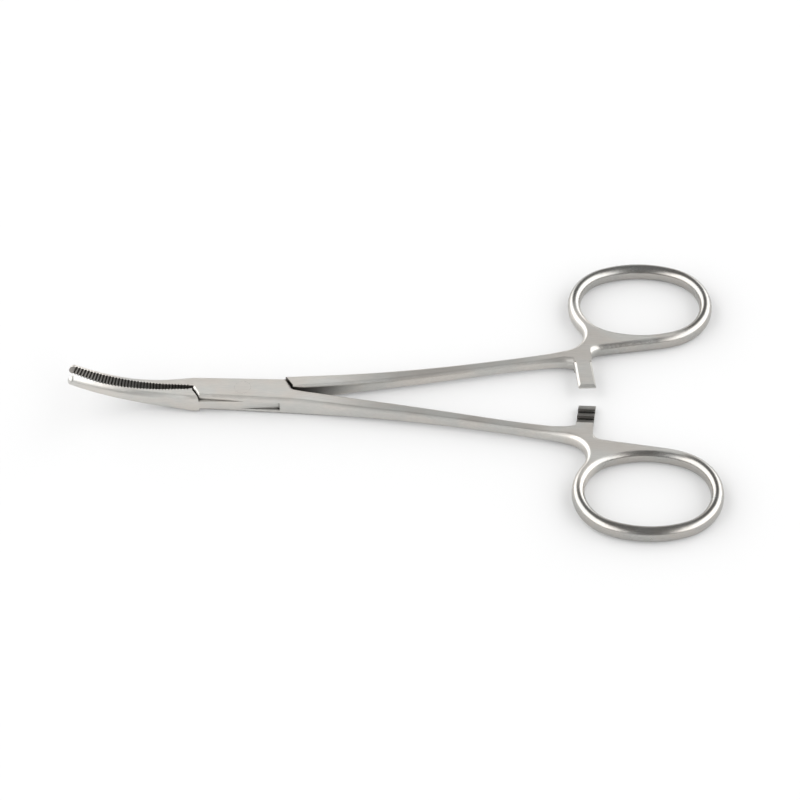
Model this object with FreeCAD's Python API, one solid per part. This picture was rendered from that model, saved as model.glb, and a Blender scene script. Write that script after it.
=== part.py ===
"""Curved haemostatic forceps of stainless steel, in millimetres, +Z up.

The origin is on the pivot's axis, on the underside of the box. The rings are towards +X and the jaws
towards -X. Both halves are drawn shut, with their parting plane on Y = 0, and are then turned apart about
the pivot. The far half of a pair of like shapes is drawn, and its mirror image is the near one.
"""
import FreeCAD
import Part
import math
import os
from FreeCAD import Vector

# Box lock: two cheeks with a slot between them, and the tongue that turns in the slot.
BOX_THICKNESS = 4.2
BOX_HALF_LENGTH = 9.65
BOX_HALF_WIDTH_AT_JAWS = 2.45
BOX_HALF_WIDTH_AT_SHANKS = 2.9
BOX_EDGE_RADIUS = 0.7
SLOT_HEIGHT = 2.0
TONGUE_PLAY = 0.04
SHOULDER_RUN = 1.7
SLOT_END_RUN = 2.4
SHOULDER_GAP = 0.2
SHOULDER_BEVEL = 0.35
PARTING_GAP = 0.04
REST_OPENING = 4.3

# Rivet: peened into a countersink in each cheek and ground flush.
RIVET_RADIUS = 1.2
RIVET_HEAD_RADIUS = 1.55
RIVET_HEAD_DEPTH = 0.4
RIVET_SQUEEZE = 0.01
RIVET_RUNNING_CLEARANCE = 0.03

# Jaws: straight at the box, then curved upwards, tapered both ways, with a half-round back.
JAW_STRAIGHT = 4.35
JAW_CURVE_RADIUS = 41.0
JAW_CURVE_ANGLE = 27.0
JAW_TIP_WIDTH = 1.0
JAW_TIP_HEIGHT = 2.0
JAW_WIDTH_HOLLOW = 2.2
JAW_HEIGHT_HOLLOW = 1.2
JAW_BACK_ROUNDING = 0.86
JAW_NOSE = 0.8
JAW_SECTIONS = 12
SERRATION_PITCH = 0.6
SERRATION_DEPTH = 0.25
SERRATION_ANGLE = 90.0
SERRATION_MARGIN = 0.9

# Finger rings: ovals of four arcs, sized on the middle of a bar that is taller than it is wide.
RING_CENTRE_X = 77.65
RING_CENTRE_Y = 21.45
RING_HALF_LENGTH = 12.92
RING_HALF_WIDTH = 9.8
RING_END_SHARE = 0.93
RING_TILT = -1.65
RING_BAR_WIDTH = 2.44
WEB_THICKNESS = 3.2
RIM_WIDTH = 1.15
RIM_HEIGHT = 1.35
LONGEST_ARC = 60.0

# Web: the flat between shank, ring and ratchet bar. Its outer side runs into the ring in a hollow arc.
WEB_INNER_Y = 5.55
WEB_ENTRY_WIDTH = 3.3
WEB_ENTRY_LENGTH = 1.3
WEB_STRAIGHT = 0.3
WEB_TRIM = 0.05
WEB_INNER_SLOPE = -14.0
WEB_OUTER_SLOPE = 16.0
WEB_BAR_BLEND = 2.2
WEB_FLARE_Y = 3.3

# Ratchet bars: each has half the thickness of the web, teeth on the side that faces the other bar.
RATCHET_X = 65.55
RATCHET_WIDTH = 3.3
RATCHET_REACH = 0.95
RATCHET_LEAN = 4.5
RATCHET_BEVEL = 0.35
RATCHET_CLEARANCE = 0.1
RATCHET_TEETH = 3
RATCHET_PITCH = 1.75
RATCHET_TOOTH_DEPTH = 0.75
RATCHET_ROOT_INNER = 1.9
RATCHET_ROOT_OUTER = 4.1

# Shank: place along it from box to web, width, thickness, corner radius, and bow off the straight line.
SHANK_STATIONS = (
    (0.037, 2.92, 4.10, 0.68, -0.15),
    (0.11, 2.80, 3.70, 0.65, -0.29),
    (0.255, 2.66, 3.02, 0.70, -0.46),
    (0.40, 2.42, 2.75, 0.72, -0.54),
    (0.58, 2.17, 2.50, 0.68, -0.43),
    (0.76, 1.99, 2.40, 0.62, -0.16),
    (0.87, 2.06, 2.45, 0.64, 0.0),
    (0.94, 2.36, 2.65, 0.85, 0.07),
)
SHANK_SECTIONS = 18
SHANK_INNER_EDGE_AT_BOX = 0.15

MID_HEIGHT = BOX_THICKNESS / 2
WEB_TOP = MID_HEIGHT + WEB_THICKNESS / 2
WEB_BOTTOM = MID_HEIGHT - WEB_THICKNESS / 2
RING_HALF_BAR = RING_BAR_WIDTH / 2
INNER_FACE_Y = PARTING_GAP / 2
MARGIN = 5.0
QUARTER_ROUND = 0.5523
ALONG_X = Vector(1, 0, 0)
ALONG_Y = Vector(0, 1, 0)
UP = Vector(0, 0, 1)
PIVOT = Vector(0, 0, 0)


def mirrored(shape):
    """The near copy of a shape drawn on the far side."""
    return shape.mirror(PIVOT, Vector(0, 1, 0))


def prism(points, bottom, top):
    """An upright block over a plan outline of (x, y) points."""
    corners = [Vector(x, y, bottom) for x, y in points]
    face = Part.Face(Part.makePolygon(corners + corners[:1]))
    return face.extrude(UP * (top - bottom))


def line(start, end):
    """A straight edge."""
    return Part.LineSegment(start, end).toShape()


def rounding(start, corner, end):
    """A quarter-round edge that leaves start towards the corner and arrives at end from it."""
    curve = Part.BezierCurve()
    curve.setPoles([start, start + (corner - start) * QUARTER_ROUND, end + (corner - end) * QUARTER_ROUND, end])
    return curve.toShape()


def rounded_section(place, across, inner, outer, thickness, inner_round, outer_round):
    """A closed rounded rectangle, upright through place, centred on the middle height.

    Each rounding is given as its width across and its height.
    """
    def at(y, z):
        return place + across * y + UP * (MID_HEIGHT + z)

    top = thickness / 2
    edges = []
    for side, y, (width, height) in ((-1, inner, inner_round), (1, outer, outer_round)):
        flat = y - side * width
        corners = [
            rounding(at(flat, side * -top), at(y, side * -top), at(y, side * (height - top))),
            line(at(y, side * (height - top)), at(y, side * (top - height))),
            rounding(at(y, side * (top - height)), at(y, side * top), at(flat, side * top)),
        ]
        other_flat = outer - outer_round[0] if side < 0 else inner + inner_round[0]
        edges += corners + [line(at(flat, side * top), at(other_flat, side * top))]
    return Part.Wire(edges)


def jaw_section(place, up, width, height, share):
    """A D-shaped section: flat towards the other jaw, with its back corners rounded."""
    radius = share * min(width, height / 2)

    def at(y, z):
        return place + Vector(0, y, 0) + up * z

    return Part.Wire([
        line(at(0, -height), at(0, 0)),
        line(at(0, 0), at(width - radius, 0)),
        rounding(at(width - radius, 0), at(width, 0), at(width, -radius)),
        line(at(width, -radius), at(width, radius - height)),
        rounding(at(width, radius - height), at(width, -height), at(width - radius, -height)),
        line(at(width - radius, -height), at(0, -height)),
    ])


def jaw_length():
    """Length of the jaw's top edge from the box to the tip."""
    return JAW_STRAIGHT + JAW_CURVE_RADIUS * math.radians(JAW_CURVE_ANGLE)


def jaw_place(distance):
    """Point on the jaw's top inner edge, and its up direction, at a distance from the box."""
    start = Vector(-BOX_HALF_LENGTH, INNER_FACE_Y, BOX_THICKNESS)
    bend = start - ALONG_X * min(distance, JAW_STRAIGHT)
    angle = max(distance - JAW_STRAIGHT, 0) / JAW_CURVE_RADIUS
    rise = Vector(-math.sin(angle), 0, 1 - math.cos(angle)) * JAW_CURVE_RADIUS
    return bend + rise, Vector(math.sin(angle), 0, math.cos(angle))


def jaw_size(distance):
    """Width and height of the jaw at a distance from the box."""
    left = 1 - distance / jaw_length()
    root_width = BOX_HALF_WIDTH_AT_JAWS - INNER_FACE_Y
    width = JAW_TIP_WIDTH + (root_width - JAW_TIP_WIDTH) * left ** JAW_WIDTH_HOLLOW
    height = JAW_TIP_HEIGHT + (BOX_THICKNESS - JAW_TIP_HEIGHT) * left ** JAW_HEIGHT_HOLLOW
    return width, height


def jaw_rounding(distance):
    """Share of the largest possible back rounding: the box's small edge grows into a half-round."""
    root_width, root_height = jaw_size(0)
    at_root = BOX_EDGE_RADIUS / min(root_width, root_height / 2)
    grown = min(distance / (jaw_length() / 2), 1)
    return at_root + (JAW_BACK_ROUNDING - at_root) * grown


def far_jaw():
    """The far jaw with its rounded nose and its row of serrations."""
    length = jaw_length()
    body_length = length - JAW_NOSE
    sections = []
    for number in range(JAW_SECTIONS + 1):
        distance = body_length * number / JAW_SECTIONS
        place, up = jaw_place(distance)
        width, height = jaw_size(distance)
        sections.append(jaw_section(place, up, width, height, jaw_rounding(distance)))
    body = Part.makeLoft(sections, True, True)

    width, height = jaw_size(body_length)
    nose_sections = []
    for angle in (0, 25, 45, 62, 75):
        shrink = math.cos(math.radians(angle))
        place, up = jaw_place(body_length + JAW_NOSE * math.sin(math.radians(angle)))
        lowered = place - up * (height * (1 - shrink) / 2)
        nose_sections.append(jaw_section(lowered, up, width * shrink, height * shrink, JAW_BACK_ROUNDING))
    nose = Part.makeLoft(nose_sections, True)
    jaw = body.fuse(nose)

    half_groove = SERRATION_DEPTH * math.tan(math.radians(SERRATION_ANGLE / 2))
    count = int((length - 2 * SERRATION_MARGIN) / SERRATION_PITCH) + 1
    grooves = []
    for number in range(count):
        place, up = jaw_place(SERRATION_MARGIN + number * SERRATION_PITCH)
        along = up.cross(Vector(0, 1, 0))
        foot = place - up * (BOX_THICKNESS + MARGIN)
        skin = Vector(0, -half_groove, 0)
        mouth = half_groove * 2
        points = [foot + skin - along * mouth, foot + skin + along * mouth, foot + Vector(0, SERRATION_DEPTH, 0)]
        face = Part.Face(Part.makePolygon(points + points[:1]))
        grooves.append(face.extrude(up * (BOX_THICKNESS + 2 * MARGIN)))
    return jaw.cut(Part.makeCompound(grooves))


def box_half_width(x):
    """Half width of the box, a little wider towards the shanks."""
    share = (x + BOX_HALF_LENGTH) / (2 * BOX_HALF_LENGTH)
    return BOX_HALF_WIDTH_AT_JAWS + (BOX_HALF_WIDTH_AT_SHANKS - BOX_HALF_WIDTH_AT_JAWS) * share


def box_body():
    """The whole box, both cheeks and what is between them, with rounded long edges."""
    edge = (BOX_EDGE_RADIUS, BOX_EDGE_RADIUS)
    sections = []
    for x in (-BOX_HALF_LENGTH, BOX_HALF_LENGTH):
        width = box_half_width(x)
        sections.append(rounded_section(Vector(x, 0, 0), ALONG_Y, -width, width, BOX_THICKNESS, edge, edge))
    return Part.makeLoft(sections, True)


def shoulder_outline(run, gap):
    """Plan of the block on the near side, left of a slanted shoulder that starts on the parting plane."""
    width = BOX_HALF_WIDTH_AT_SHANKS
    reach = (width + MARGIN) / width
    slant = math.hypot(run, width)
    start = -BOX_HALF_LENGTH - gap * slant / width
    return [(-BOX_HALF_LENGTH - MARGIN, 0), (start, 0), (start + run * reach, -width * reach),
            (-BOX_HALF_LENGTH - MARGIN, -width * reach)]


def shoulder(run, gap, bottom, top):
    """The upright block left of a slanted shoulder."""
    return prism(shoulder_outline(run, gap), bottom, top)


def shoulder_bevel(edge_height, inside_height):
    """The block left of the box's shoulder, widened from inside_height to edge_height by the bevel."""
    wires = []
    for height, gap in ((inside_height, 0), (edge_height, -SHOULDER_BEVEL)):
        corners = [Vector(x, y, height) for x, y in shoulder_outline(SHOULDER_RUN, gap)]
        wires.append(Part.makePolygon(corners + corners[:1]))
    return Part.makeLoft(wires, True, True)


def turned(shape, angle):
    """A shape turned about the pivot."""
    copy = shape.copy()
    copy.rotate(PIVOT, UP, angle)
    return copy


def box_shoulders(gap):
    """Room in the cheeks for the tongue half's shoulders: near the jaws, and opposite near the shanks."""
    near_jaw_side = shoulder(SHOULDER_RUN, gap, -MARGIN, BOX_THICKNESS + MARGIN)
    return near_jaw_side.fuse(turned(near_jaw_side, 180))


def box_bevels():
    """What the bevels take off the edges of the box's shoulders, on both faces of the box."""
    upper = shoulder_bevel(BOX_THICKNESS, BOX_THICKNESS - SHOULDER_BEVEL)
    lower = shoulder_bevel(0, SHOULDER_BEVEL)
    near_jaw_side = upper.fuse(lower)
    return near_jaw_side.fuse(turned(near_jaw_side, 180))


def slot_walls(gap, bottom, top):
    """What closes the slot at its two ends."""
    far_jaw_side = mirrored(shoulder(SLOT_END_RUN, gap, bottom, top))
    return far_jaw_side.fuse(turned(far_jaw_side, 180))


def slot_block(play):
    """The space between the cheeks, less the play on each side."""
    bottom = MID_HEIGHT - SLOT_HEIGHT / 2 + play
    length = 2 * BOX_HALF_LENGTH
    return Part.makeBox(length, 4 * MARGIN, SLOT_HEIGHT - 2 * play,
                        Vector(-BOX_HALF_LENGTH, -2 * MARGIN, bottom))


def rivet(radius, head_radius):
    """The peened rivet, or the hole that it fills."""
    profile = [Vector(0, 0, 0), Vector(head_radius, 0, 0), Vector(radius, 0, RIVET_HEAD_DEPTH),
               Vector(radius, 0, BOX_THICKNESS - RIVET_HEAD_DEPTH), Vector(head_radius, 0, BOX_THICKNESS),
               Vector(0, 0, BOX_THICKNESS)]
    face = Part.Face(Part.makePolygon(profile + profile[:1]))
    return face.revolve(PIVOT, UP, 360)


def box_part():
    """The box half's share of the box: two cheeks, joined at both ends of the slot."""
    cheeks = box_body().cut(box_shoulders(0)).cut(box_bevels())
    walls = slot_walls(0, 0, BOX_THICKNESS)
    space = slot_block(0).cut(walls)
    hole = rivet(RIVET_RADIUS - RIVET_SQUEEZE, RIVET_HEAD_RADIUS - RIVET_SQUEEZE)
    return cheeks.cut(space).cut(hole)


def tongue_part():
    """The tongue half's share of the box: the tongue and a shoulder at each end."""
    body = box_body()
    shoulders = body.common(box_shoulders(SHOULDER_GAP))
    tongue = body.common(slot_block(TONGUE_PLAY)).cut(slot_walls(-SHOULDER_GAP, -MARGIN, BOX_THICKNESS + MARGIN))
    hole = Part.makeCylinder(RIVET_RADIUS + RIVET_RUNNING_CLEARANCE, BOX_THICKNESS)
    return tongue.fuse(shoulders).cut(hole)


def direction(angle):
    """The level unit vector at an angle from +X, in degrees."""
    return Vector(math.cos(math.radians(angle)), math.sin(math.radians(angle)), 0)


def angle_of(vector):
    """The angle of a level vector from +X, in degrees."""
    return math.degrees(math.atan2(vector.y, vector.x))


def ring_arcs():
    """The four arcs of the ring's middle line, each with its centre, radius, and first and last angle.

    They run anticlockwise from the end away from the box: end, far side, end, near side.
    """
    end_radius = RING_HALF_WIDTH * RING_END_SHARE
    reach = RING_HALF_LENGTH - end_radius
    side_radius = (reach ** 2 + RING_HALF_WIDTH ** 2 - end_radius ** 2) / (2 * (RING_HALF_WIDTH - end_radius))
    drop = side_radius - RING_HALF_WIDTH
    half_side = math.degrees(math.atan2(reach, drop))
    half_end = 90 - half_side
    arcs = []
    for turn, offset, radius, half in ((0, reach, end_radius, half_end), (90, -drop, side_radius, half_side),
                                       (180, reach, end_radius, half_end), (270, -drop, side_radius, half_side)):
        facing = RING_TILT + turn
        centre = Vector(RING_CENTRE_X, RING_CENTRE_Y, 0) + direction(facing) * offset
        arcs.append((centre, radius, facing - half, facing + half))
    return arcs


def short_arcs(arcs):
    """The same arcs, each divided into equal lengths of at most LONGEST_ARC."""
    pieces = []
    for centre, radius, first, last in arcs:
        count = math.ceil((last - first) / LONGEST_ARC)
        step = (last - first) / count
        for number in range(count):
            pieces.append((centre, radius, first + number * step, first + (number + 1) * step))
    return pieces


def rim_profile(foot, outwards):
    """Upright face of the rounded rim, from the web's flat at foot out to the edge."""
    def at(y, z):
        return Vector(foot.x, foot.y, z) + outwards * y

    low, high = WEB_BOTTOM + RIM_HEIGHT, WEB_TOP - RIM_HEIGHT
    return Part.Face(Part.Wire([
        line(at(0, WEB_BOTTOM), at(0, WEB_TOP)),
        rounding(at(0, WEB_TOP), at(RIM_WIDTH, WEB_TOP), at(RIM_WIDTH, high)),
        line(at(RIM_WIDTH, high), at(RIM_WIDTH, low)),
        rounding(at(RIM_WIDTH, low), at(RIM_WIDTH, WEB_BOTTOM), at(0, WEB_BOTTOM)),
    ]))


def bare_side(start, end):
    """Straight edge of the web's flat that has no rim, on the underside."""
    return line(start + UP * WEB_BOTTOM, end + UP * WEB_BOTTOM), None


def straight_side(start, end, outwards):
    """Straight edge of the web's flat, and the rim along it."""
    edge, _ = bare_side(start, end)
    return edge, rim_profile(start, outwards).extrude(end - start)


def curved_side(centre, radius, first, last, bulge):
    """Arc edge of the web's flat, and its rim: outside the arc when bulge is 1, inside when it is -1."""
    edge = Part.makeCircle(radius, centre + UP * WEB_BOTTOM, UP, first, last)
    radial = direction(first)
    return edge, rim_profile(centre + radial * radius, radial * bulge).revolve(centre, UP, last - first)


def curved_sides(arcs, growth, bulge):
    """Edges and rims along arcs whose radius grows by a distance."""
    return [curved_side(centre, radius + growth, first, last, bulge)
            for centre, radius, first, last in short_arcs(arcs)]


def wire_of(sides):
    """The closed outline that the edges of the sides make."""
    return Part.Wire(Part.sortEdges([edge for edge, _ in sides])[0])


def web_lines():
    """Entry points of the web's two sides, and the directions in which they leave the shank."""
    entry_x = RATCHET_X - RATCHET_WIDTH / 2 - WEB_ENTRY_LENGTH
    inner_way, outer_way = direction(WEB_INNER_SLOPE), direction(WEB_OUTER_SLOPE)
    inner = Vector(entry_x, WEB_INNER_Y - WEB_ENTRY_LENGTH * inner_way.y / inner_way.x, 0)
    outer = inner + ALONG_Y * WEB_ENTRY_WIDTH
    return inner, inner_way, outer, outer_way


def web_section(distance):
    """Section of the web's sides, carried on straight, at a distance before the entry."""
    inner, inner_way, outer, outer_way = web_lines()
    inner = inner - inner_way * (distance / inner_way.x)
    outer = outer - outer_way * (distance / outer_way.x)
    return rounded_section(Vector(inner.x, 0, 0), ALONG_Y, inner.y, outer.y, WEB_TOP - WEB_BOTTOM,
                           (RIM_WIDTH / inner_way.x, RIM_HEIGHT), (RIM_WIDTH / outer_way.x, RIM_HEIGHT))


def hollow_arc(start, way, end_arc):
    """The hollow on the web's outer side: an arc that leaves start along way and runs into the ring's end."""
    end_centre, end_radius, _, _ = end_arc
    normal = UP.cross(way)
    to_start = start - end_centre
    outer_radius = end_radius + RING_HALF_BAR
    radius = (to_start.dot(to_start) - outer_radius ** 2) / (2 * (outer_radius - normal.dot(to_start)))
    centre = start + normal * radius
    return centre, radius, WEB_OUTER_SLOPE - 90, angle_of(end_centre - centre)


def flare_line(side_arc):
    """Where the straight flare behind the ratchet bar starts, and its angle: it touches the ring's side."""
    side_centre, side_radius, _, _ = side_arc
    start = Vector(RATCHET_X + RATCHET_WIDTH / 2, WEB_INNER_Y + WEB_FLARE_Y, 0)
    to_centre = side_centre - start
    touch = math.degrees(math.asin((side_radius + RING_HALF_BAR) / to_centre.Length))
    return start, angle_of(to_centre) - touch


def web_and_ring():
    """Ring and web in one: a flat plate with a rounded rim all along its edges."""
    far_end, far_side, near_end, near_side = ring_arcs()
    flat = RING_HALF_BAR - RIM_WIDTH
    inner, inner_way, outer, outer_way = web_lines()
    inner_normal, outer_normal = UP.cross(inner_way), UP.cross(outer_way)
    inner_trim = WEB_TRIM - RIM_WIDTH * inner_way.y / inner_way.x
    outer_trim = WEB_TRIM + RIM_WIDTH * outer_way.y / outer_way.x
    inner_start = inner - inner_way * inner_trim + inner_normal * RIM_WIDTH
    inner_end = inner + inner_way * (WEB_ENTRY_LENGTH / inner_way.x) + inner_normal * RIM_WIDTH
    outer_start = outer - outer_way * outer_trim - outer_normal * RIM_WIDTH
    hollow_start = outer + outer_way * WEB_STRAIGHT
    hollow = hollow_arc(hollow_start, outer_way, near_end)

    flare_start, flare_angle = flare_line(near_side)
    flare_normal = UP.cross(direction(flare_angle))
    half_corner = math.radians(90 + flare_angle) / 2
    corner = flare_start + Vector(WEB_BAR_BLEND, -WEB_BAR_BLEND / math.tan(half_corner), 0)
    corner_arc = (corner, WEB_BAR_BLEND, flare_angle + 90, 180)
    corner_start = corner - ALONG_X * (WEB_BAR_BLEND + RIM_WIDTH)
    corner_end = corner + flare_normal * (WEB_BAR_BLEND + RIM_WIDTH)
    touching = near_side[0] - flare_normal * (near_side[1] + flat)

    outer_arcs = [(near_side[0], near_side[1], flare_angle + 270, near_side[3]), far_end, far_side,
                  (near_end[0], near_end[1], near_end[2], hollow[3] + 180)]
    sides = [straight_side(inner_start, inner_end, inner_normal * -1), bare_side(inner_end, corner_start),
             straight_side(corner_end, touching, flare_normal * -1),
             straight_side(outer_start, hollow_start - outer_normal * RIM_WIDTH, outer_normal),
             bare_side(outer_start, inner_start)]
    sides += curved_sides([corner_arc, hollow], RIM_WIDTH, -1) + curved_sides(outer_arcs, flat, 1)
    hole_sides = curved_sides([far_end, far_side, near_end, near_side], -flat, -1)
    outline, hole = Part.Face(wire_of(sides)), Part.Face(wire_of(hole_sides))
    plate = outline.cut(hole).extrude(UP * (WEB_TOP - WEB_BOTTOM))
    whole = plate.fuse([rim for _, rim in sides + hole_sides if rim])

    stub = Part.makeBox(WEB_ENTRY_WIDTH, 3 * WEB_ENTRY_WIDTH, 2 * BOX_THICKNESS,
                        Vector(inner.x - WEB_ENTRY_WIDTH, inner.y - WEB_ENTRY_WIDTH, -MID_HEIGHT))
    return whole.cut(stub)


def shank_values(place):
    """Width, thickness, corner radius and bow at a place, on a smooth curve through the stations."""
    rows = SHANK_STATIONS
    left = max(number for number, row in enumerate(rows[:-1]) if row[0] <= place)

    def slope(number, column):
        before, after = rows[max(number - 1, 0)], rows[min(number + 1, len(rows) - 1)]
        return (after[column] - before[column]) / (after[0] - before[0])

    start, end = rows[left], rows[left + 1]
    run = end[0] - start[0]
    share = (place - start[0]) / run
    rise = share * share * (3 - 2 * share)
    values = []
    for column in range(1, len(start)):
        bend = slope(left, column) * (1 - share) ** 2 * share - slope(left + 1, column) * share ** 2 * (1 - share)
        values.append(start[column] + (end[column] - start[column]) * rise + bend * run)
    return values


def shank_and_ring():
    """The far half from the box to the end of its ring, without the ratchet bar."""
    inner, _, outer, _ = web_lines()
    start = Vector(BOX_HALF_LENGTH, (INNER_FACE_Y + BOX_HALF_WIDTH_AT_SHANKS) / 2, 0)
    way = (inner + outer) / 2 - start
    across = UP.cross(way).normalize()
    half_width = (BOX_HALF_WIDTH_AT_SHANKS - INNER_FACE_Y) / 2
    sections = [rounded_section(start, ALONG_Y, -half_width, half_width, BOX_THICKNESS,
                                (SHANK_INNER_EDGE_AT_BOX, SHANK_INNER_EDGE_AT_BOX),
                                (BOX_EDGE_RADIUS, BOX_EDGE_RADIUS))]
    first, last = SHANK_STATIONS[0][0], SHANK_STATIONS[-1][0]
    for number in range(SHANK_SECTIONS):
        place = first + (last - first) * number / (SHANK_SECTIONS - 1)
        width, thickness, radius, bow = shank_values(place)
        sections.append(rounded_section(start + way * place + across * bow, across, -width / 2, width / 2,
                                        thickness, (radius, radius), (radius, radius)))
    sections += [web_section(WEB_STRAIGHT), web_section(0)]
    return web_and_ring().fuse(Part.makeLoft(sections, True, True))


def ratchet_bar():
    """The far half's bar: a crisp block rooted in the web, then half the thickness with teeth underneath."""
    left = RATCHET_X - RATCHET_WIDTH / 2
    right = RATCHET_X + RATCHET_WIDTH / 2
    root = prism([(left, WEB_INNER_Y), (right, WEB_INNER_Y), (right, WEB_INNER_Y + RATCHET_ROOT_OUTER),
                  (left, WEB_INNER_Y + RATCHET_ROOT_INNER)], WEB_BOTTOM, WEB_TOP)

    crest = MID_HEIGHT + RATCHET_CLEARANCE / 2
    hollow = crest + RATCHET_TOOTH_DEPTH
    inside_root = WEB_INNER_Y + RATCHET_ROOT_INNER / 2
    profile = [(inside_root, WEB_TOP), (-RATCHET_REACH, WEB_TOP)]
    for number in range(RATCHET_TEETH):
        foot = -RATCHET_REACH + number * RATCHET_PITCH
        profile += [(foot, hollow), (foot + RATCHET_PITCH, crest)]
    profile += [(-RATCHET_REACH + RATCHET_TEETH * RATCHET_PITCH, hollow), (inside_root, hollow)]
    corners = [Vector(left - MARGIN, y, z) for y, z in profile]
    teeth = Part.Face(Part.makePolygon(corners + corners[:1])).extrude(ALONG_X * (RATCHET_WIDTH + 2 * MARGIN))

    lean = math.tan(math.radians(RATCHET_LEAN)) * (WEB_INNER_Y + RATCHET_REACH)

    def outline(inset):
        return [(left + inset, inside_root), (left + inset, WEB_INNER_Y),
                (left + lean + inset, -RATCHET_REACH + inset), (right + lean - inset, -RATCHET_REACH + inset),
                (right - inset, WEB_INNER_Y), (right - inset, inside_root)]

    bevel_start = WEB_TOP - RATCHET_BEVEL
    wires = []
    for height, inset in ((bevel_start, 0), (WEB_TOP, RATCHET_BEVEL)):
        corners = [Vector(x, y, height) for x, y in outline(inset)]
        wires.append(Part.makePolygon(corners + corners[:1]))
    bar = prism(outline(0), WEB_BOTTOM, bevel_start).fuse(Part.makeLoft(wires, True, True))
    return root.fuse(teeth.common(bar))


def main():
    """Build both halves and the rivet, and write one STEP file for each."""
    handle = shank_and_ring().fuse(ratchet_bar())
    jaw = far_jaw()
    near_handle = handle.copy()
    near_handle.rotate(Vector(0, 0, MID_HEIGHT), ALONG_X, 180)

    box_half = box_part().fuse([jaw, near_handle]).removeSplitter()
    tongue_half = tongue_part().fuse([mirrored(jaw), handle]).removeSplitter()
    pivot_rivet = rivet(RIVET_RADIUS, RIVET_HEAD_RADIUS)

    os.makedirs("parts", exist_ok=True)
    turned(box_half, -REST_OPENING / 2).exportStep("parts/box_half.step")
    turned(tongue_half, REST_OPENING / 2).exportStep("parts/tongue_half.step")
    turned(pivot_rivet, -REST_OPENING / 2).exportStep("parts/pivot_rivet.step")


main()
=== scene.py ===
# %% [markdown]
# # Curved haemostatic forceps on a white table
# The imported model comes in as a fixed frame: two halves of satin stainless steel that pass through each
# other at a box lock, and the rivet that holds them. Everything here is in metres, with the origin on the
# pivot and +X towards the finger rings. The frame stays as it is, and finer pieces stand in for its nodes.

# %% Load the frame
import bpy
import math
from mathutils import Matrix, Vector
from mathutils.bvhtree import BVHTree


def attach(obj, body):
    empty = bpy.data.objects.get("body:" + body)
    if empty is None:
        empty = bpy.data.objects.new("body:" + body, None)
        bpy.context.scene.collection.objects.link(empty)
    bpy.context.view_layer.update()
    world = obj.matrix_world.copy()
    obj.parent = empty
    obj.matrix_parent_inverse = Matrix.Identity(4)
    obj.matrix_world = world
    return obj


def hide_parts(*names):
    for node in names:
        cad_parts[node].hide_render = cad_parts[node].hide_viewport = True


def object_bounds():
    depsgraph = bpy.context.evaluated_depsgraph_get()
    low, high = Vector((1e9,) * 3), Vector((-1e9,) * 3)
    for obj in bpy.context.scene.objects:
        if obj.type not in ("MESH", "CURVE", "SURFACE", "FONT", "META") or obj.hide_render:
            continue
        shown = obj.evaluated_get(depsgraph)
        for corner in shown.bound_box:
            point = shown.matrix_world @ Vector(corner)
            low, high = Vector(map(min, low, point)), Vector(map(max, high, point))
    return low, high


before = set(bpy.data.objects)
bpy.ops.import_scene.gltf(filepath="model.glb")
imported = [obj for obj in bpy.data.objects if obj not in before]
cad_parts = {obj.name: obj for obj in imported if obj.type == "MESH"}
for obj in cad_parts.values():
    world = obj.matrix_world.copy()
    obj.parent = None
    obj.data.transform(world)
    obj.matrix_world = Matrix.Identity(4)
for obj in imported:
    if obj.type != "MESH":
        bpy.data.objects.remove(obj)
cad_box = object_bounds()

MM = 0.001
low, high = cad_box
print("the frame spans", [round((b - a) / MM, 1) for a, b in zip(low, high)], "mm")

# %% [markdown]
# ## Smooth metal from the frame
# The frame's meshes are loose triangles, so light would catch every facet. The halves could be modelled
# again by hand, but the frame already has their true shape. So each is copied, its doubled corners are
# merged, and its faces are shaded smooth up to a limit angle. Normals weighted by face area then keep the
# ground flats flat, while the rounded rims flow into them. The edges of the box, the teeth of the ratchet
# and the serrations of the jaws stay crisp, as they are on the real thing.

# %% Merge a copy of a node
MERGE_DISTANCE = 0.0005 * MM


def deselect_all():
    bpy.ops.object.select_all(action="DESELECT")


def merged_copy(node_name, piece_name):
    """A copy of a node of the frame whose triangles share their corners, left as the active piece."""
    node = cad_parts[node_name]
    piece = bpy.data.objects.new(piece_name, node.data.copy())
    piece.data.name = piece_name
    piece.data.materials.clear()
    bpy.context.scene.collection.objects.link(piece)
    deselect_all()
    piece.select_set(True)
    bpy.context.view_layer.objects.active = piece
    bpy.ops.object.mode_set(mode="EDIT")
    bpy.ops.mesh.select_all(action="SELECT")
    bpy.ops.mesh.remove_doubles(threshold=MERGE_DISTANCE)
    bpy.ops.mesh.customdata_custom_splitnormals_clear()
    bpy.ops.object.mode_set(mode="OBJECT")
    return piece


# %% Shade the active piece smooth
CREASE_ANGLE = math.radians(32)
LARGE_FACE_WEIGHT = 100


def shade_smooth(piece):
    """Smooth up to the crease angle, with normals that follow the largest faces."""
    bpy.ops.object.shade_smooth_by_angle(angle=CREASE_ANGLE)
    bpy.ops.object.modifier_add(type="WEIGHTED_NORMAL")
    weighting = piece.modifiers[-1]
    weighting.mode = "FACE_AREA"
    weighting.weight = LARGE_FACE_WEIGHT
    weighting.keep_sharp = True
    bpy.ops.object.modifier_apply(modifier=weighting.name)


# %% Make the three pieces
BOX_BODY = "box_half"
TONGUE_BODY = "tongue_half"


def smooth_copy(node_name, piece_name, body):
    """A merged, smoothly shaded copy that stands for a node of the frame."""
    piece = merged_copy(node_name, piece_name)
    shade_smooth(piece)
    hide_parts(node_name)
    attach(piece, body)
    print(piece_name, "has", len(piece.data.polygons), "faces")
    return piece


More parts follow.
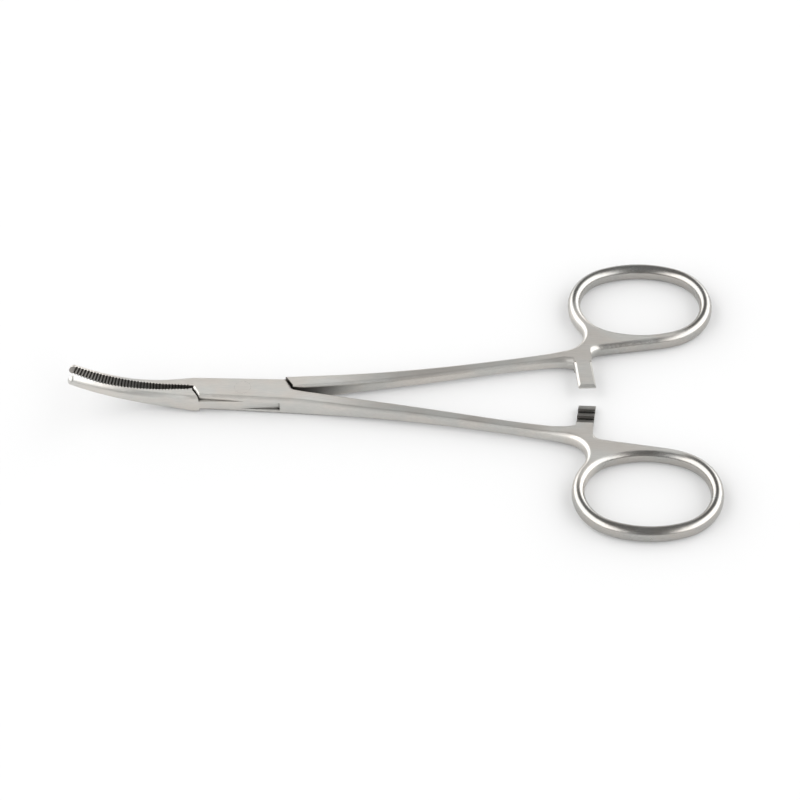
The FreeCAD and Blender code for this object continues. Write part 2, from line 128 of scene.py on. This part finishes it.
box_half = smooth_copy("box_half", "box_half_steel", BOX_BODY)
tongue_half = smooth_copy("tongue_half", "tongue_half_steel", TONGUE_BODY)
rivet = smooth_copy("pivot_rivet", "rivet_steel", BOX_BODY)

# %% [markdown]
# ## Painted shade on the teeth
# The grooves between the teeth lie in shade, and here that shade is painted into the colour as a dark mask.
# Such a mask is often painted by hand. Here the teeth's places and depths are known, so it is worked out
# from them, and follows every tooth. The serrations are half dark on their crests and darkest at the bottom
# of their grooves. On the ratchet bars this mask darkens the crests and leaves the bottom of the grooves out.
# For shade in the grooves that is the wrong way round, and it is a known fault of this finish. `rise` and
# `fall` are the soft steps that all the masks use.

# %% Soft steps
def rise(value, start, end):
    """0 at start, 1 at end, smooth between."""
    share = min(1.0, max(0.0, (value - start) / (end - start)))
    return share * share * (3 - 2 * share)


def fall(value, start, end):
    """1 at start, 0 at end, smooth between."""
    return rise(-value, -end, -start)


print("a rise at each quarter:", [round(rise(quarter, 0, 4), 2) for quarter in range(5)])

# %% How much shade is painted on the teeth at a place
# These set the shade painted on the serrations and on the ratchet teeth
BOX_END = 9.65 * MM
SERRATION_REACH = 0.32 * MM
SERRATION_DEPTH = 0.25 * MM
SERRATION_CREST_SHADE = 0.5
DARKEST_SHARE = 0.8
RATCHET_LEFT = 63.0 * MM
RATCHET_RIGHT = 69.0 * MM
RATCHET_END = 5.3 * MM
TOOTH_REACH = 0.85 * MM
TOOTH_DEPTH = 0.75 * MM
UNSHADED_SHARE = 0.4
MIDDLE_HEIGHT = 2.1 * MM
LOOKS_ALONG = 0.5


def teeth_shading(place, normal, tooth_side):
    """How much shade is painted on the serrations or the ratchet teeth at a place, from 0 to 1.

    tooth_side is 1 for the ratchet bar above the middle height, and -1 for the bar below it.
    """
    if place.x < -BOX_END and abs(place.y) < SERRATION_REACH and abs(normal.y) > LOOKS_ALONG:
        deep = rise(abs(place.y), 0, DARKEST_SHARE * SERRATION_DEPTH)
        return SERRATION_CREST_SHADE + (1 - SERRATION_CREST_SHADE) * deep
    in_bar = RATCHET_LEFT < place.x < RATCHET_RIGHT and abs(place.y) < RATCHET_END
    from_middle = (place.z - MIDDLE_HEIGHT) * tooth_side
    if in_bar and 0 < from_middle < TOOTH_REACH and abs(normal.x) < LOOKS_ALONG:
        # The crests are nearest the middle height, so they come out darkest
        return rise(TOOTH_DEPTH - from_middle, UNSHADED_SHARE * TOOTH_DEPTH, TOOTH_DEPTH)
    return 0.0


# %% [markdown]
# ## Buffed rings
# The finger rings are buffed bright. The flats of their webs stay matt, and the shanks lie between the two.
# One gloss for the whole instrument would be simpler, but the change from bright to matt is much of what
# makes it look like metal. The mask follows the direction from the ring's centre: it fades towards the web,
# and comes back on the web's rounded rims.

# %% How far a place is buffed
RING_CENTRE = Vector((77.65, 21.45)) * MM
WEB_ANGLE = math.radians(247)
SHANK_POLISH = 0.4
WEB_POLISH = 0.2
SHANK_START = (12 * MM, 32 * MM)
SHANK_END = (50 * MM, 62 * MM)
WEB_RIM_START = (66 * MM, 70 * MM)
FREE_SIDE = (0.15, 0.75)
RIM_SLOPE = (0.85, 0.98)


def buffing(place, normal):
    """1 on the finger rings but for their webs' flats, less on the shanks, 0 on the box and the jaws."""
    if place.x < RATCHET_LEFT:
        shank = WEB_POLISH + (SHANK_POLISH - WEB_POLISH) * fall(place.x, *SHANK_END)
        return rise(place.x, *SHANK_START) * shank
    arm = Vector((place.x, abs(place.y))) - RING_CENTRE
    from_web = math.atan2(arm.y, arm.x) - WEB_ANGLE
    rim = fall(abs(normal.z), *RIM_SLOPE) * rise(place.x, *WEB_RIM_START)
    return max(WEB_POLISH, fall(math.cos(from_web), *FREE_SIDE), rim)


# %% [markdown]
# ## Painted shade where faces look at the other half
# Two steel faces that look at each other across a narrow gap lie in shade, and this mask paints that shade
# into their colour: on the shoulders and the slot of the box, and on the roots of the shanks. This mask could
# be painted by hand too. Rays find it instead: one goes out from each corner of each face, along the face's
# normal, and measures how near the other half is at rest.

# %% Rays to the other half
GAP_REACH = 4.8 * MM
RAY_START = 0.01 * MM
RAY_INSET = 0.1


def surface_of(piece):
    """A piece's faces, in a form that rays can be cast at."""
    mesh = piece.data
    return BVHTree.FromPolygons([v.co for v in mesh.vertices], [tuple(p.vertices) for p in mesh.polygons])


def nearness(corner, polygon, other):
    """1 where a face touches the other half, 0 where the other half is out of reach."""
    inside = corner.lerp(polygon.center, RAY_INSET) + polygon.normal * RAY_START
    hit, _, _, distance = other.ray_cast(inside, polygon.normal, GAP_REACH)
    return fall(distance, 0, GAP_REACH) if hit else 0.0


box_surface, tongue_surface = surface_of(box_half), surface_of(tongue_half)
print("rays reach", round(GAP_REACH / MM, 1), "mm")

# %% [markdown]
# ## Store the three masks
# The masks are kept as attributes with one value for each corner of each face, not for each vertex, so that
# the edge between an unshaded face and one with painted shade stays sharp. The teeth and the buffing are
# measured with the forceps closed, when the halves' inner faces lie on Y = 0. That is the position at rest,
# turned back by half the opening.

# %% Measure each piece
REST_TURN = math.radians(2.15)


def measure(piece, rest_turn, tooth_side, other):
    """Store the three masks on the piece, one value for each corner of each face."""
    closed = Matrix.Rotation(-rest_turn, 4, "Z")
    mesh = piece.data
    smooth_normals = mesh.corner_normals
    teeth_shade, enclosed, polished = [], [], []
    for polygon in mesh.polygons:
        normal = closed.to_3x3() @ polygon.normal
        for loop in polygon.loop_indices:
            corner = mesh.vertices[mesh.loops[loop].vertex_index].co
            place = closed @ corner
            teeth_shade.append(teeth_shading(place, normal, tooth_side))
            polished.append(buffing(place, smooth_normals[loop].vector))
            enclosed.append(nearness(corner, polygon, other))
    # The first two of these masks hold painted shade, and the third the buffing
    for name, values in (("teeth_shade", teeth_shade), ("enclosed", enclosed), ("polished", polished)):
        mesh.attributes.new(name, "FLOAT", "CORNER").data.foreach_set("value", values)
        print(piece.name, name, "on average", round(sum(values) / len(values), 2))


measure(box_half, -REST_TURN, -1, tongue_surface)
measure(tongue_half, REST_TURN, 1, box_surface)
measure(rivet, 0, 1, tongue_surface)

# %% [markdown]
# ## Helpers for shader nodes
# A material can be wired by hand in the shader editor. In a script, a few short functions that add a node,
# set it and link it do the same, and each effect below then takes a few lines.

# %% Add a node and link it
def add_node(tree, kind, **values):
    """A new node of a kind, with its settings."""
    node = tree.nodes.new(kind)
    for name, value in values.items():
        setattr(node, name, value)
    return node


def connect(tree, source, target):
    """Link an output to an input, or set the input when the source is a plain value."""
    if isinstance(source, bpy.types.NodeSocket):
        tree.links.new(source, target)
    else:
        target.default_value = source


# %% Calculate, ramp and mix
MIX_SOCKETS = {"FLOAT": (2, 3, 0), "RGBA": (6, 7, 2)}


def math_node(tree, operation, *values, clamp=False):
    """A Math node's result, from outputs or plain values."""
    node = add_node(tree, "ShaderNodeMath", operation=operation, use_clamp=clamp)
    for value, target in zip(values, node.inputs):
        connect(tree, value, target)
    return node.outputs[0]


def ramp_between(tree, value, start, end, low_value, high_value):
    """A smooth change from low_value at start to high_value at end."""
    node = add_node(tree, "ShaderNodeMapRange", interpolation_type="SMOOTHSTEP")
    connect(tree, value, node.inputs["Value"])
    limits = {"From Min": start, "From Max": end, "To Min": low_value, "To Max": high_value}
    for name, number in limits.items():
        node.inputs[name].default_value = number
    return node.outputs["Result"]


def mix(tree, kind, factor, first, second):
    """The first value at factor 0 and the second at factor 1, for plain numbers or for colours."""
    first_input, second_input, result = MIX_SOCKETS[kind]
    node = add_node(tree, "ShaderNodeMix", data_type=kind)
    connect(tree, factor, node.inputs[0])
    connect(tree, first, node.inputs[first_input])
    connect(tree, second, node.inputs[second_input])
    return node.outputs[result]


# %% Read a mask and make noise
def mask(tree, name):
    """One of the masks that are stored on the mesh."""
    return add_node(tree, "ShaderNodeAttribute", attribute_name=name).outputs["Fac"]


def noise(tree, coordinates, stretch, detail, roughness=0.5):
    """Noise on object coordinates, with cells per metre along each axis."""
    mapping = add_node(tree, "ShaderNodeMapping", vector_type="POINT")
    mapping.inputs["Scale"].default_value = stretch
    tree.links.new(coordinates, mapping.inputs["Vector"])
    texture = add_node(tree, "ShaderNodeTexNoise")
    texture.inputs["Scale"].default_value = 1.0
    texture.inputs["Detail"].default_value = detail
    texture.inputs["Roughness"].default_value = roughness
    tree.links.new(mapping.outputs[0], texture.inputs["Vector"])
    return texture.outputs["Fac"]


# %% [markdown]
# ## Painted shade
# Shade is painted into the steel's colour in three places: on the teeth, on the faces that look at the other
# half, and in any narrow corner. The first two are masks measured above. Ambient occlusion finds the corners,
# because it tells how open a place is within about a millimetre, and its shade is painted on top of the shade
# that the renderer casts itself. The darkest of the three counts.

# %% The painted shade mask
# How strongly shade is painted on the teeth, between the halves and in narrow corners
TEETH_SHADE_STRENGTH = 0.95
WALL_SHADE_STRENGTH = 0.9
CREVICE_SHADE_STRENGTH = 0.97
CREVICE_REACH = 1.2 * MM
CREVICE_SKY = (0.3, 0.78)
CREVICE_SAMPLES = 8


def painted_shade_mask(tree):
    """Where shade is painted on the steel: on the teeth, between the halves and in narrow corners."""
    teeth = math_node(tree, "MULTIPLY", mask(tree, "teeth_shade"), TEETH_SHADE_STRENGTH)
    walls = math_node(tree, "MULTIPLY", mask(tree, "enclosed"), WALL_SHADE_STRENGTH)
    crevice = add_node(tree, "ShaderNodeAmbientOcclusion", samples=CREVICE_SAMPLES)
    crevice.inputs["Distance"].default_value = CREVICE_REACH
    shut_in = ramp_between(tree, crevice.outputs["AO"], *CREVICE_SKY, CREVICE_SHADE_STRENGTH, 0.0)
    return math_node(tree, "MAXIMUM", teeth, math_node(tree, "MAXIMUM", walls, shut_in))


# %% [markdown]
# ## Colour of the steel
# Stainless steel is a pale grey that drifts between warm and cool. A plain colour would look like plastic,
# so soft clouds a few millimetres across mix two greys, and the grinding marks shade them a little. The
# buffed parts are toned down, to bring the rings' dark bands nearer to the photograph.

# %% Steel colour
WARM_STEEL = (0.655, 0.625, 0.585, 1.0)
COOL_STEEL = (0.60, 0.595, 0.57, 1.0)
# Nearly black: the colour of the painted shade
PAINTED_SHADE_COLOUR = (0.03, 0.026, 0.022, 1.0)
CLOUD_COLOURS = (0.35, 0.65)
MARK_RANGE = (0.3, 0.7)
MARK_SHADE = 0.10
BUFFED_TONE = 0.7


def steel_colour(tree, clouds, grinding, buffed, painted_shade):
    """Warm and cool greys, shaded by the grinding marks, darker where buffed and nearly black where shade is
    painted.
    """
    greys = mix(tree, "RGBA", ramp_between(tree, clouds, *CLOUD_COLOURS, 0.0, 1.0), WARM_STEEL, COOL_STEEL)
    tone = math_node(tree, "MULTIPLY_ADD", buffed, BUFFED_TONE - 1.0, 1.0)
    marks = ramp_between(tree, grinding, *MARK_RANGE, -0.5, 0.5)
    shaded = add_node(tree, "ShaderNodeVectorMath", operation="SCALE")
    tree.links.new(greys, shaded.inputs[0])
    tree.links.new(math_node(tree, "MULTIPLY_ADD", marks, MARK_SHADE, tone), shaded.inputs["Scale"])
    return mix(tree, "RGBA", painted_shade, shaded.outputs[0], PAINTED_SHADE_COLOUR)


# %% [markdown]
# ## Roughness of the steel
# Surgical steel is ground on its flat faces, which leaves them matt so that they don't dazzle under theatre
# lights, and tumbled to a soft polish on its rounded sides. The direction that a face looks in tells the two
# apart, so no mask is needed for it. Clouds, scratches and the painted shade mask then make the gloss uneven.

# %% Steel roughness
FLAT_SLOPE = (0.955, 0.998)
CLOUD_RANGE = (0.3, 0.7)
CLOUD_ROUGHNESS = 0.06
SCRATCH_ROUGHNESS = -0.03
# More roughness where shade is painted into the colour
SHADE_ROUGHNESS = 0.25


def steel_roughness(tree, inputs, facing, clouds, scratches, buffed, painted_shade):
    """Matt flats, softly polished sides and glossy rings, uneven with clouds, scratches and painted shade."""
    axes = add_node(tree, "ShaderNodeSeparateXYZ")
    tree.links.new(facing, axes.inputs[0])
    flat = ramp_between(tree, math_node(tree, "ABSOLUTE", axes.outputs["Z"]), *FLAT_SLOPE, 0.0, 1.0)
    ground = mix(tree, "FLOAT", flat, inputs["Side roughness"], inputs["Flat roughness"])
    finish = mix(tree, "FLOAT", buffed, ground, inputs["Buffed roughness"])
    cloudy = ramp_between(tree, clouds, *CLOUD_RANGE, -0.5, 0.5)
    uneven = math_node(tree, "MULTIPLY_ADD", cloudy, CLOUD_ROUGHNESS, finish)
    worn = math_node(tree, "MULTIPLY_ADD", scratches, SCRATCH_ROUGHNESS, uneven)
    return math_node(tree, "MULTIPLY_ADD", painted_shade, SHADE_ROUGHNESS, worn, clamp=True)


# %% [markdown]
# ## Relief of the steel
# Grinding marks, grain and scratches are about a hundredth of a millimetre deep at most. Geometry that fine
# would take millions of faces, so they only bend the light, through a bump. The teeth and the edges are real
# geometry.

# %% Steel relief
MARK_RELIEF = 0.6
GRAIN_RELIEF = 0.4
SCRATCH_RELIEF = -0.08
RELIEF_STRENGTH = 0.25
RELIEF_DEPTH = 0.012 * MM


def steel_relief(tree, grinding, grain, scratches):
    """The normal over grinding marks, grain and scratches."""
    fine = math_node(tree, "MULTIPLY", grain, GRAIN_RELIEF)
    marks = math_node(tree, "MULTIPLY_ADD", grinding, MARK_RELIEF, fine)
    bump = add_node(tree, "ShaderNodeBump")
    bump.inputs["Strength"].default_value = RELIEF_STRENGTH
    bump.inputs["Distance"].default_value = RELIEF_DEPTH
    tree.links.new(math_node(tree, "MULTIPLY_ADD", scratches, SCRATCH_RELIEF, marks), bump.inputs["Height"])
    return bump.outputs[0]


# %% [markdown]
# ## One finish as a node group
# The halves and the rivet have the same kind of finish, so it is built once as a group, and each material
# gives it its own roughnesses. Four noises drive it, in cells per metre: clouds, grinding marks, grain and
# scratches. All but the grain are stretched along X, so that the marks run along the instrument.

# %% Put the group together
HALVES_FINISH = {"Flat roughness": 0.58, "Side roughness": 0.4, "Buffed roughness": 0.25}
RIVET_FINISH = {"Flat roughness": 0.57, "Side roughness": 0.4, "Buffed roughness": 0.22}
GROUP_RESULTS = {"Colour": "NodeSocketColor", "Roughness": "NodeSocketFloat", "Normal": "NodeSocketVector"}
CLOUDS = {"stretch": (130, 260, 260), "detail": 3.0}
GRINDING = {"stretch": (450, 9000, 9000), "detail": 4.0, "roughness": 0.6}
GRAIN = {"stretch": (5200, 5200, 5200), "detail": 2.0}
SCRATCHES = {"stretch": (160, 5200, 2600), "detail": 1.0}
SCRATCH_EDGES = (0.66, 0.74)


def ground_steel_group():
    """Colour, roughness and normal of ground, tumbled and buffed steel."""
    group = bpy.data.node_groups.new("ground_steel", "ShaderNodeTree")
    for label, usual in HALVES_FINISH.items():
        socket = group.interface.new_socket(label, in_out="INPUT", socket_type="NodeSocketFloat")
        socket.default_value = usual
    for label, kind in GROUP_RESULTS.items():
        group.interface.new_socket(label, in_out="OUTPUT", socket_type=kind)
    inputs = add_node(group, "NodeGroupInput").outputs
    results = add_node(group, "NodeGroupOutput").inputs

    place = add_node(group, "ShaderNodeTexCoord").outputs
    clouds, grinding, grain, streaks = [
        noise(group, place["Object"], **kind) for kind in (CLOUDS, GRINDING, GRAIN, SCRATCHES)]
    scratches = ramp_between(group, streaks, *SCRATCH_EDGES, 0.0, 1.0)
    buffed, painted_shade = mask(group, "polished"), painted_shade_mask(group)

    group.links.new(steel_colour(group, clouds, grinding, buffed, painted_shade), results["Colour"])
    roughness = steel_roughness(group, inputs, place["Normal"], clouds, scratches, buffed, painted_shade)
    group.links.new(roughness, results["Roughness"])
    group.links.new(steel_relief(group, grinding, grain, scratches), results["Normal"])
    return group


ground_steel = ground_steel_group()
print("the steel group has", len(ground_steel.nodes), "nodes")

# %% [markdown]
# ## Steel for the halves and for the rivet
# The rivet is ground flush together with the box, so that it hardly shows, and its finish is almost the
# same. The shader stays in each material, with its plain Metallic of 1, and takes only what varies over the
# surface from the group.

# %% Two materials
def steel_material(name, finish_values):
    """Steel whose colour, roughness and normal come from the node group."""
    material = bpy.data.materials.new(name)
    material.use_nodes = True
    tree = material.node_tree
    shader = tree.nodes["Principled BSDF"]
    shader.inputs["Metallic"].default_value = 1.0
    finish = add_node(tree, "ShaderNodeGroup", node_tree=ground_steel)
    for label, value in finish_values.items():
        finish.inputs[label].default_value = value
    tree.links.new(finish.outputs["Colour"], shader.inputs["Base Color"])
    tree.links.new(finish.outputs["Roughness"], shader.inputs["Roughness"])
    tree.links.new(finish.outputs["Normal"], shader.inputs["Normal"])
    print(name, "has", finish_values)
    return material


halves_steel = steel_material("satin_steel", HALVES_FINISH)
rivet_metal = steel_material("rivet_steel", RIVET_FINISH)
box_half.data.materials.append(halves_steel)
tongue_half.data.materials.append(halves_steel)
rivet.data.materials.append(rivet_metal)

# %% [markdown]
# ## A table that meets the forceps
# The forceps lie on the underside of the box and on the rings, which are thinner than the box and start half
# a millimetre higher. The forceps could be tipped to lie flat, but they have to stay where the frame has
# them, so the table is tilted instead. It lies a twentieth of a millimetre lower, clear of both.

# %% Table
BAR_UNDERSIDE = 0.5 * MM
RING_PLACE = 77.6 * MM
TABLE_TILT = math.atan2(BAR_UNDERSIDE, RING_PLACE)
TABLE_DROP = 0.05 * MM
OBJECT_TURN = math.radians(-2.7375)
TABLE_SIZE = 3.0

to_table = Matrix.Rotation(OBJECT_TURN, 4, "Z") @ Matrix.Rotation(TABLE_TILT, 4, "Y")
from_table = to_table.inverted()

deselect_all()
bpy.ops.mesh.primitive_plane_add(size=TABLE_SIZE)
table = bpy.context.object
table.name = "table"
table.matrix_world = from_table @ Matrix.Translation((0, 0, -TABLE_DROP))
bpy.ops.object.transform_apply(location=True, rotation=True, scale=True)
print("the table is tilted by", round(math.degrees(TABLE_TILT), 2), "degrees")

# %% [markdown]
# ## White paper
# The table looks white and still takes the forceps' shadow. Stronger lamps would make it white, but would
# burn out the steel too. So it is a middling grey with a weak glow of its own, which only the camera and
# mirrored rays see. Matt surfaces get no light from it, and the steel mirrors the white that the camera sees.

# %% Paint the table
TABLE_COLOUR = 0.54
TABLE_GLOW = 0.22

white = bpy.data.materials.new("white_table")
white.use_nodes = True
tree = white.node_tree
tree.nodes.clear()
output = add_node(tree, "ShaderNodeOutputMaterial")
diffuse = add_node(tree, "ShaderNodeBsdfDiffuse")
glow = add_node(tree, "ShaderNodeEmission")
rays = add_node(tree, "ShaderNodeLightPath").outputs
diffuse.inputs["Color"].default_value = (TABLE_COLOUR, TABLE_COLOUR, TABLE_COLOUR, 1)
mirrored = math_node(tree, "ADD", rays["Is Glossy Ray"], rays["Is Transmission Ray"])
seen = math_node(tree, "ADD", rays["Is Camera Ray"], mirrored, clamp=True)
tree.links.new(math_node(tree, "MULTIPLY", seen, TABLE_GLOW), glow.inputs["Strength"])
total = add_node(tree, "ShaderNodeAddShader")
tree.links.new(diffuse.outputs[0], total.inputs[0])
tree.links.new(glow.outputs[0], total.inputs[1])
tree.links.new(total.outputs[0], output.inputs["Surface"])
table.data.materials.append(white)
print("the table's material has", len(tree.nodes), "nodes")

# %% [markdown]
# ## Two softboxes and a sweep
# Polished steel shows the room, so the room has to be right. Large softboxes stand left and right, and the
# dim strip between them makes the dark middles of the rings. Low at the back, the paper sweeps up and is
# bright, while the front stays dim. Lamps would do, but each would show as a hard-edged shape in the
# rings. So the world's strength follows the direction instead, with soft edges all round.

# %% Directions in the studio
world = bpy.data.worlds.new("studio")
bpy.context.scene.world = world
world.use_nodes = True
tree = world.node_tree
background = tree.nodes["Background"]
background.inputs["Color"].default_value = (1, 1, 1, 1)
direction = add_node(tree, "ShaderNodeTexCoord")
turned = add_node(tree, "ShaderNodeVectorRotate", rotation_type="Z_AXIS")
turned.inputs["Angle"].default_value = OBJECT_TURN
tree.links.new(direction.outputs["Generated"], turned.inputs["Vector"])
axes = add_node(tree, "ShaderNodeSeparateXYZ")
tree.links.new(turned.outputs[0], axes.inputs[0])
rightward, backward, upward = (axes.outputs[name] for name in "XYZ")
print("the studio is turned by", round(math.degrees(OBJECT_TURN), 2), "degrees")

# %% Light from each direction
LEFT_LIGHT = 2.35
RIGHT_LIGHT = 2.5
AMBIENT_LIGHT = 0.19
FRONT_LIGHT = 0.15
SWEEP_LIGHT = 0.9
BOX_INNER_EDGE = 0.22
BOX_OUTER_EDGE = 0.55
BOX_FOOT = (0.0, 0.3)
HORIZON_TOP = (0.1, 0.5)
FRONT_TO_BACK = (-0.5, 0.5)

right_box = ramp_between(tree, rightward, BOX_INNER_EDGE, BOX_OUTER_EDGE, 0.0, RIGHT_LIGHT)
left_box = ramp_between(tree, rightward, -BOX_OUTER_EDGE, -BOX_INNER_EDGE, LEFT_LIGHT, 0.0)
above_table = ramp_between(tree, upward, *BOX_FOOT, 0.0, 1.0)
boxes = math_node(tree, "MULTIPLY", math_node(tree, "ADD", left_box, right_box), above_table)
low_down = ramp_between(tree, upward, *HORIZON_TOP, 1.0, 0.0)
ends = ramp_between(tree, backward, *FRONT_TO_BACK, FRONT_LIGHT, SWEEP_LIGHT)
horizon = math_node(tree, "MULTIPLY", low_down, ends)
light = math_node(tree, "ADD", math_node(tree, "ADD", boxes, horizon), AMBIENT_LIGHT)
tree.links.new(light, background.inputs["Strength"])
print("the world has", len(tree.nodes), "nodes")

# %% [markdown]
# ## The photograph's view
# A camera could be placed by eye, but then the render and the photograph could hardly be compared place by
# place. Instead, one camera was fitted to the outline of the forceps. The fit turns, shifts and tilts the
# forceps in front of a camera that looks down at the table. Here the forceps stay in place, so the camera
# takes that move backwards.

# %% Camera
VIEW_ELEVATION = math.radians(47.2383)
VIEW_DISTANCE = 562.63 * MM
VIEW_ROLL = math.radians(-1.7955)
VIEW_TILT = math.radians(0.28)
OBJECT_SHIFT = Vector((-30.104, 0.737, 0)) * MM
FOCAL_PIXELS = 2922.9
PICTURE_WIDTH = 800
SENSOR_WIDTH = 36.0
NEAREST_SEEN = 0.01

camera_data = bpy.data.cameras.new("camera")
camera_data.sensor_width = SENSOR_WIDTH
camera_data.lens = FOCAL_PIXELS / PICTURE_WIDTH * SENSOR_WIDTH
camera_data.clip_start = NEAREST_SEEN
camera = bpy.data.objects.new("camera", camera_data)
bpy.context.scene.collection.objects.link(camera)
turn, tilt = Matrix.Rotation(OBJECT_TURN, 4, "Z"), Matrix.Rotation(VIEW_TILT, 4, "Y")
placed = Matrix.Translation(OBJECT_SHIFT) @ turn @ tilt
stand = Matrix.Rotation(math.pi / 2 - VIEW_ELEVATION, 4, "X") @ Matrix.Translation((0, 0, VIEW_DISTANCE))
camera.matrix_world = placed.inverted() @ stand @ Matrix.Rotation(VIEW_ROLL, 4, "Z")
bpy.context.scene.camera = camera
bpy.context.scene.view_settings.view_transform = "Standard"
print("the lens is", round(camera_data.lens, 1), "mm")
